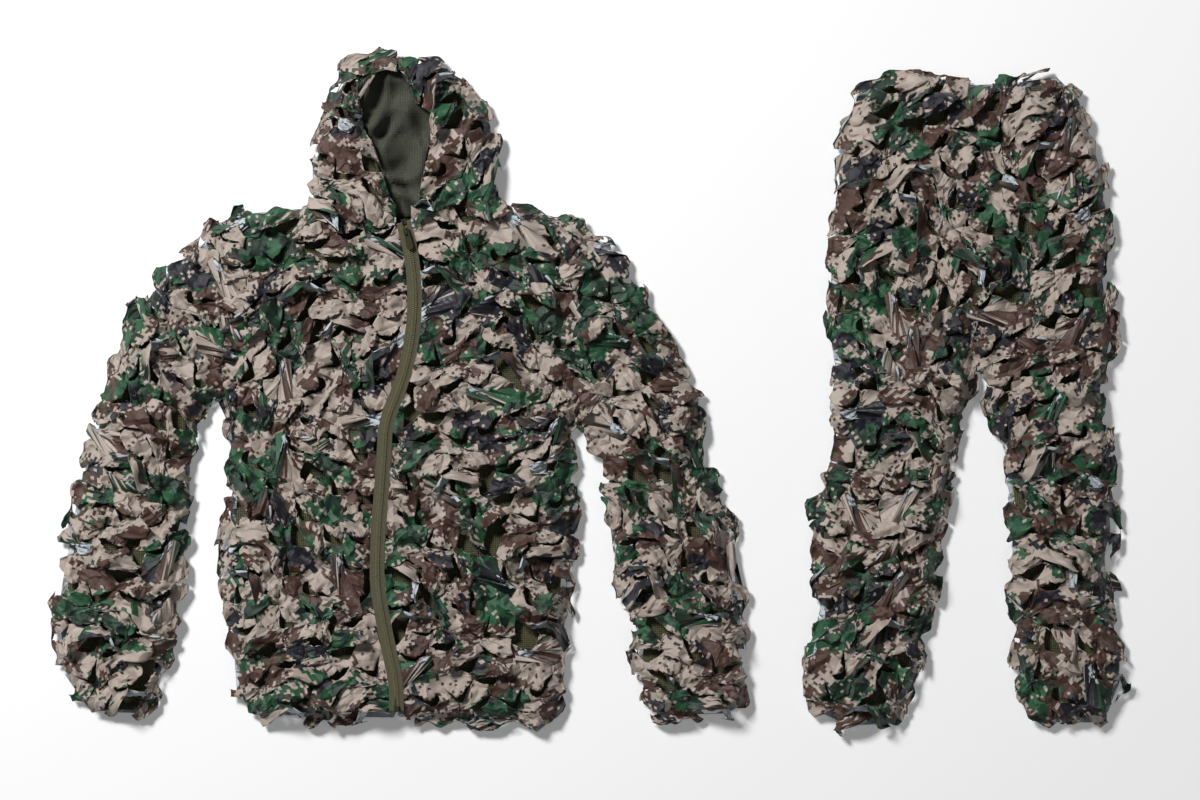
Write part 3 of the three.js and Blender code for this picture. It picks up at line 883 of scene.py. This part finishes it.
# %% The panels
# name: part, body, garment, upper, where on the print, side of the zip
panels = {
    "jacket_front_left": ("jacket_front_left", "jacket", "jacket", True, (0.0, 0.0), -1),
    "jacket_front_right": ("jacket_front_right", "jacket", "jacket", True, (1.7, 20.4), 1),
    "jacket_back": ("jacket_back", "jacket", "jacket", False, (3.1, 42.2), 0),
    "left_sleeve_front": ("left_sleeve_front", "left_sleeve", "jacket", True, (5.3, 61.1), 0),
    "left_sleeve_back": ("left_sleeve_back", "left_sleeve", "jacket", False, (2.9, 87.1), 0),
    "right_sleeve_front": ("right_sleeve_front", "right_sleeve", "jacket", True, (48.2, 3.3), 0),
    "right_sleeve_back": ("right_sleeve_back", "right_sleeve", "jacket", False, (44.4, 29.9), 0),
    "hood_left": ("hood_left", "hood", "jacket", True, (41.2, 55.6), 0),
    "hood_right": ("hood_right", "hood", "jacket", True, (46.1, 76.8), 0),
    "hood_back": ("hood_back", "hood", "jacket", False, (49.2, 92.4), 0),
    "trousers_left_front": ("trousers_left_front", "trousers", "trousers", True, (77.7, 8.4), 0),
    "trousers_left_back": ("trousers_left_back", "trousers", "trousers", False, (75.9, 24.2), 0),
    "trousers_right_front": ("trousers_right_front", "trousers", "trousers", True, (73.6, 45.0), 0),
    "trousers_right_back": ("trousers_right_back", "trousers", "trousers", False, (72.2, 63.9), 0),
    "left_shin_front": ("left_lower_leg_front", "left_lower_leg", "trousers", True, (74.8, 80.7), 0),
    "left_shin_back": ("left_lower_leg_back", "left_lower_leg", "trousers", False, (79.5, 99.1), 0),
    "right_shin_front": ("right_lower_leg_front", "right_lower_leg", "trousers", True, (110.6, 9.3), 0),
    "right_shin_back": ("right_lower_leg_back", "right_lower_leg", "trousers", False, (118.8, 37.9), 0),
}
cloths = {}
for name, (node, body, garment, upper, print_at, zip_side) in panels.items():
    same_side = [entry for entry in panels.values() if entry[2] == garment and entry[3] == upper]
    around = [f"{entry[0]}_leaves" for entry in same_side]
    leaves = f"{node}_leaves"
    cloths[name] = leaf_panel(f"{name}_cloth", leaves, body, garment, around, upper, print_at, zip_side)

# %% [markdown]
# ## The net underneath
# Each panel of leaves has its panel of net, lying just under it and stopping short of the
# silhouette. Behind the open face the hood's back net sags into a hollow with long folds.
# %% The hollow behind the open face
NET_STEP = 6 * MM
NET_TOP = 18.5 * MM
HOOD_NET_TOP = 22 * MM
UNDER_NET = 9.9 * MM
HOLLOW_RIM = 27 * MM
HOLLOW_FLOOR = 11.5 * MM
RIM_INSIDE, RIM_OUTSIDE = 45 * MM, 20 * MM
FOLD_START = 18 * MM
UPRIGHT_FOLD, LEVEL_FOLD, FOLD_LIFT = 8 * MM, 9 * MM, 7 * MM
NECK_LAP = 24 * MM


def hollow_height(plan):
    """The hood's back net: high round the opening, with long folds inside it."""
    hood_front = [outline_of("hood_left_net"), outline_of("hood_right_net")]
    opening = ~(inside(plan, hood_front[0]) | inside(plan, hood_front[1]))
    deep = distance_to(plan, np.vstack(hood_front)) * np.where(opening, 1, -1)
    inner_rim = np.clip(1 - deep / RIM_INSIDE, 0, 1) ** 1.5
    outer_rim = 0.55 * np.clip(1 + deep / RIM_OUTSIDE, 0, 1)
    rim = np.where(deep < 0, outer_rim, inner_rim)
    bend = 9 * wander(plan, 0.11, 5.0)
    upright = 1 - 2 * np.abs(np.sin(plan[:, 0] / (16 * MM) + bend / 2))
    level = 1 - 2 * np.abs(np.sin(plan[:, 1] / (34 * MM) + 0.9 * bend))
    folds = UPRIGHT_FOLD * upright + LEVEL_FOLD * level + FOLD_LIFT
    height = HOLLOW_FLOOR + (HOLLOW_RIM - HOLLOW_FLOOR) * rim + np.clip(deep / FOLD_START, 0, 1) * folds
    return np.maximum(height, UNDER_NET)


print("hollow from", HOLLOW_FLOOR, "to", HOLLOW_RIM, "m")


# %% Net sheets
def net_sheet(name, node, body, garment, upper):
    outline = outline_of(node)
    low, high = outline[:, :2].min(0), outline[:, :2].max(0)
    if name == "hood_back_netting":
        low = low - (0, NECK_LAP)
    size = high - low
    bm = bmesh.new()
    flat_uv = bm.loops.layers.uv.new("flat")
    cells = [max(2, round(float(d) / NET_STEP)) for d in size]
    bmesh.ops.create_grid(bm, x_segments=cells[0], y_segments=cells[1], size=0.5)
    bmesh.ops.scale(bm, vec=(float(size[0]), float(size[1]), 1), verts=bm.verts)
    bmesh.ops.translate(bm, vec=(*((low + high) / 2), 0), verts=bm.verts)
    plan = np.array([v.co[:2] for v in bm.verts])
    within = inside(plan, outline)
    if name == "hood_back_netting":
        within |= (plan[:, 1] < low[1] + NECK_LAP + 1 * MM) & in_garment(plan, garment)
    bm.verts.index_update()
    outside = [f for f in bm.faces if not any(within[v.index] for v in f.verts)]
    gap, foot = nearest_on(plan, outline)
    plan = np.where(within[:, None], plan, foot)
    if upper:
        edge = distance_to(plan, silhouettes[garment])
        height = crown(edge, EDGE_HEIGHT, HOOD_NET_TOP if body == "hood" else NET_TOP)
        height += 1.2 * MM * wander(plan, 0.05, 2.0)
    elif body == "hood":
        height = hollow_height(plan)
    else:
        height = UNDER_NET + 0.3 * MM * wander(plan, 0.05, 4.0)
    for v in bm.verts:
        v.co = (*plan[v.index], height[v.index])
    for face in bm.faces:
        for loop in face.loops:
            loop[flat_uv].uv = plan[loop.vert.index]
    bmesh.ops.delete(bm, geom=outside, context="FACES")
    hollow = body == "hood" and not upper
    held, flat, flat_area = "laid", tuple(map(float, size)), outline_area(outline)
    if hollow:
        # The wrinkles take up net, so its cut is larger than its plan.
        bm.normal_update()
        surface = sum(face.calc_area() for face in bm.faces)
        cut_scale = math.sqrt(surface / sum(face.calc_area() * abs(face.normal.z) for face in bm.faces))
        held, flat, flat_area = "gathered", (flat[0] * cut_scale, flat[1] * cut_scale), surface
        for face in bm.faces:
            for loop in face.loops:
                loop[flat_uv].uv *= cut_scale
        print(name, "cut scale", round(cut_scale, 3))
    piece = object_from(bm, name, hood_net_finish if hollow else net_finish)
    wall = piece.modifiers.new("thickness", "SOLIDIFY")
    wall.thickness = 0.6 * MM
    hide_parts(node)
    return piece


nets = {}
for name, (node, body, garment, upper, print_at, zip_side) in panels.items():
    nets[name] = net_sheet(f"{name}_netting", f"{node}_net", body, garment, upper)
print("nets:", len(nets))

# %% [markdown]
# ## The zip
# Two woven tapes with a sewn rib along each side of a moulded coil, and one small tooth after
# another in between, half a step apart on the two sides. Its slider, pull and end fittings
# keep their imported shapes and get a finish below.
# %% Tapes
TAPE_STEP = 3 * MM
TAPE_IN, TAPE_OUT = 0.9 * MM, 12 * MM
along_zip = np.concatenate([[0], np.cumsum(np.hypot(np.diff(zip_x), np.diff(zip_y)))])
zip_length = float(along_zip[-1])


def on_zip(distance, side):
    """A point beside the zip: how far along its line, and how far to the right of it."""
    x = np.interp(distance, along_zip, zip_x)
    y = np.interp(distance, along_zip, zip_y)
    slope = np.interp(y, zip_y, zip_slope)
    tilt = math.hypot(1, slope)
    return x + side / tilt, y - side * slope / tilt


def tape(name, node, side):
    bm = bmesh.new()
    flat_uv = bm.loops.layers.uv.new("flat")
    steps = round(zip_length / TAPE_STEP)
    bmesh.ops.create_grid(bm, x_segments=10, y_segments=steps, size=0.5)
    flat = {}
    for v in bm.verts:
        out = TAPE_IN + (v.co.x + 0.5) * (TAPE_OUT - TAPE_IN)
        distance = (v.co.y + 0.5) * zip_length
        rib = 0.9 * MM * math.exp(-(((out - 5.2 * MM) / (0.9 * MM)) ** 2))
        sag = 1.2 * MM * noise.noise(Vector((distance * 9, side, 0))) * out / TAPE_OUT
        x, y = on_zip(distance, side * out)
        flat[v.index] = (out + 0.2 * (side > 0), distance)
        v.co = (x, y, TAPE_TOP + rib + sag)
    bm.verts.index_update()
    ordered = list(flat.values())
    for face in bm.faces:
        for loop in face.loops:
            loop[flat_uv].uv = ordered[loop.vert.index]
    piece = object_from(bm, name, tape_finish)
    wall = piece.modifiers.new("thickness", "SOLIDIFY")
    wall.thickness = 0.7 * MM
    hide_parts(node)
    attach(piece, "jacket")
    return piece


tape("left_tape", "zip_tape_left", -1)
tape("right_tape", "zip_tape_right", 1)
print("tapes:", round(zip_length, 3), "m long")

# %% Teeth
TOOTH_PITCH = 3.0 * MM
TOOTH = (3.6 * MM, 1.7 * MM, 1.6 * MM)
TOOTH_BEVEL = 0.4 * MM
TOOTH_HEIGHT = TAPE_TOP + 1.6 * MM


def teeth(name, node, side):
    bm = bmesh.new()
    count = int(zip_length / TOOTH_PITCH) - 4
    for k in range(count):
        distance = (k + 2 + (0.25 if side > 0 else -0.25)) * TOOTH_PITCH
        x, y = on_zip(distance, side * 1.9 * MM)
        slope = float(np.interp(y, zip_y, zip_slope))
        turn = Matrix.Rotation(-math.atan(slope), 4, "Z")
        made = bmesh.ops.create_cube(bm, size=1, matrix=Matrix.Translation((x, y, TOOTH_HEIGHT)) @ turn
                                     @ Matrix.Diagonal((*TOOTH, 1)))
        edges = {edge for v in made["verts"] for edge in v.link_edges if len(edge.link_faces) == 2}
        top_edges = [e for e in edges if all(v.co.z > TOOTH_HEIGHT for v in e.verts)]
        bmesh.ops.bevel(
            bm, geom=top_edges, offset=TOOTH_BEVEL, segments=1, profile=0.5, affect="EDGES", material=-1
        )
    piece = object_from(bm, name, teeth_finish)
    for face in piece.data.polygons:
        face.use_smooth = False
    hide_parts(node)
    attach(piece, "jacket")
    print(name, count, "teeth")


teeth("left_coil", "zip_teeth_left", -1)
teeth("right_coil", "zip_teeth_right", 1)

# %% [markdown]
# ## Elastic, facings and seam tapes
# The waist, cuffs and ankles are drawn in by elastic: a flat ring of ribbed band. The tapes
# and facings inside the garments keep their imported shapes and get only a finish.
# %% Elastic rings
RIB = 5 * MM


def elastic_ring(name, node, body):
    corners_xy = np.array([v.co[:2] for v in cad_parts[node].data.vertices])
    middle = (corners_xy.min(0) + corners_xy.max(0)) / 2
    axes = np.linalg.svd(corners_xy - middle, full_matrices=False)[2]
    across = (corners_xy - middle) @ axes.T
    half = np.abs(across).max(0)
    bottom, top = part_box(node)[0][2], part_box(node)[1][2]
    around = 4 * round(4 * float(half[0]) / RIB)
    bm = bmesh.new()
    flat_uv = bm.loops.layers.uv.new("flat")
    bmesh.ops.create_grid(bm, x_segments=around, y_segments=4, size=0.5)
    shares = [(v.co.x + 0.5, v.co.y + 0.5) for v in bm.verts]
    perimeter = 4 * float(half[0]) + 2 * (top - bottom)
    band_width = 2 * float(half[1]) + 0.2 * MM
    for face in bm.faces:
        for loop in face.loops:
            share = shares[loop.vert.index]
            loop[flat_uv].uv = (share[0] * perimeter, share[1] * band_width)
    for v, (s, t) in zip(bm.verts, shares):
        angle = 2 * math.pi * s
        x = math.copysign(abs(math.cos(angle)) ** 0.35, math.cos(angle))
        z = math.copysign(abs(math.sin(angle)) ** 0.35, math.sin(angle))
        rib = 0.35 * MM * math.sin(2 * math.pi * x * float(half[0]) / RIB)
        place = middle + axes[0] * x * (half[0] - 1 * MM) + axes[1] * (t - 0.5) * band_width
        v.co = (*place, (bottom + top) / 2 + z * ((top - bottom) / 2 - 1 * MM + rib))
    bmesh.ops.remove_doubles(bm, verts=bm.verts, dist=1e-6)
    area = sum(face.calc_area() for face in bm.faces)
    piece = object_from(bm, name, elastic_finish)
    wall = piece.modifiers.new("thickness", "SOLIDIFY")
    wall.thickness = 0.7 * MM
    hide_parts(node)
    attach(piece, body)


elastic_ring("waist_band", "waist_elastic", "trousers")
elastic_ring("left_cuff_band", "left_sleeve_cuff_elastic", "left_sleeve")
elastic_ring("right_cuff_band", "right_sleeve_cuff_elastic", "right_sleeve")
elastic_ring("left_ankle_band", "left_lower_leg_ankle_elastic", "left_lower_leg")
elastic_ring("right_ankle_band", "right_lower_leg_ankle_elastic", "right_lower_leg")

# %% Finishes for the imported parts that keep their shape
KEPT = {
    "neck_seam_tape": binding_finish,
    "hem_facing": binding_finish,
    "front_rise_seam_tape": binding_finish,
    "back_rise_seam_tape": binding_finish,
    "waistband_facing": binding_finish,
    "hood_face_elastic": elastic_finish,
    "zip_top_stop_left": metal_finish,
    "zip_top_stop_right": metal_finish,
    "zip_retainer_box": metal_finish,
    "zip_insert_pin": metal_finish,
    "zip_slider_body": metal_finish,
    "zip_pull_tab": metal_finish,
}
for node, finish in KEPT.items():
    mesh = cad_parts[node].data
    mesh.materials.clear()
    mesh.materials.append(finish)
print("kept parts with a finish:", len(KEPT))

# %% Cloth that crosses a fold keeps its place and is attached to no body; the rest rides with its body
FOLDS = {
    "hood": ("jacket", (0, 1, 0)),
    "left_sleeve": ("jacket", (-1, 0, 0)),
    "right_sleeve": ("jacket", (1, 0, 0)),
    "left_lower_leg": ("trousers", (0, -1, 0)),
    "right_lower_leg": ("trousers", (0, -1, 0)),
}


def ride_or_bend(piece, body):
    if body in FOLDS:
        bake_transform(piece)
    else:
        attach(piece, body)


for name, entry in panels.items():
    ride_or_bend(cloths[name], entry[1])
    ride_or_bend(nets[name], entry[1])
print("cloths and nets that bend:", 2 * len([entry for entry in panels.values() if entry[1] in FOLDS]))
